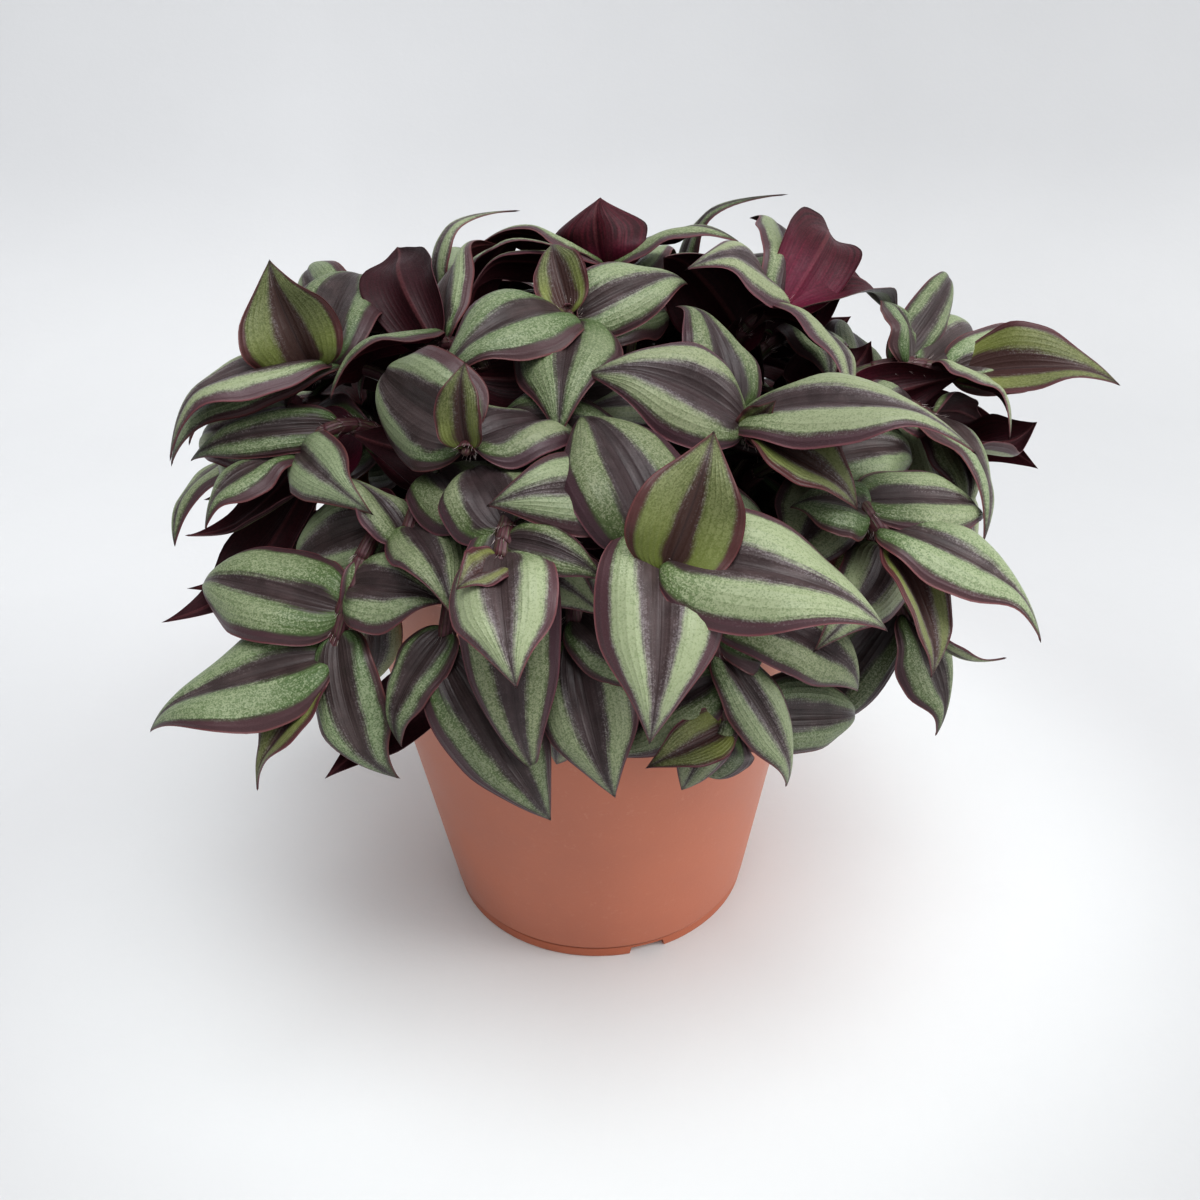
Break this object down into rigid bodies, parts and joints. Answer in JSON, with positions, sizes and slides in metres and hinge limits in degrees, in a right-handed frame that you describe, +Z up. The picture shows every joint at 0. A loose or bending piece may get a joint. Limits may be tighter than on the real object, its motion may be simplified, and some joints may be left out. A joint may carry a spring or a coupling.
{
  "type": "potted tradescantia",
  "caption": "Trailing houseplant with striped, pointed leaves on leafy stems, standing in soil in a tapered plastic pot.",
  "frame": {"origin": "on the ground, in the middle of the whole plant's bounding box", "axes": "+Z up, -Y towards the side that faces the viewer in the picture, +X to that viewer's right"},
  "size_m": [0.2332, 0.2152, 0.1942],
  "materials": {
    "pot": "smooth satin moulded plastic, terracotta colour",
    "soil": "rough, crumbly, moist potting soil",
    "foliage": "satin leaves, silver-green bands on purple, maroon beneath"
  },
  "bodies": {
    "root": {"pot": "pot", "soil": "soil", "shoot_01": "foliage", "shoot_02": "foliage", "shoot_03": "foliage", "shoot_04": "foliage", "shoot_05": "foliage", "shoot_06": "foliage", "shoot_07": "foliage", "shoot_08": "foliage", "shoot_09": "foliage", "shoot_10": "foliage", "shoot_11": "foliage", "shoot_12": "foliage", "shoot_13": "foliage", "shoot_14": "foliage", "shoot_15": "foliage", "shoot_16": "foliage", "shoot_17": "foliage", "shoot_18": "foliage", "shoot_19": "foliage", "shoot_20": "foliage", "shoot_21": "foliage", "shoot_22": "foliage", "shoot_23": "foliage", "shoot_24": "foliage", "shoot_25": "foliage", "shoot_26": "foliage", "shoot_27": "foliage", "shoot_28": "foliage", "shoot_29": "foliage", "shoot_30": "foliage", "shoot_31": "foliage", "shoot_32": "foliage"}
  },
  "joints": []
}
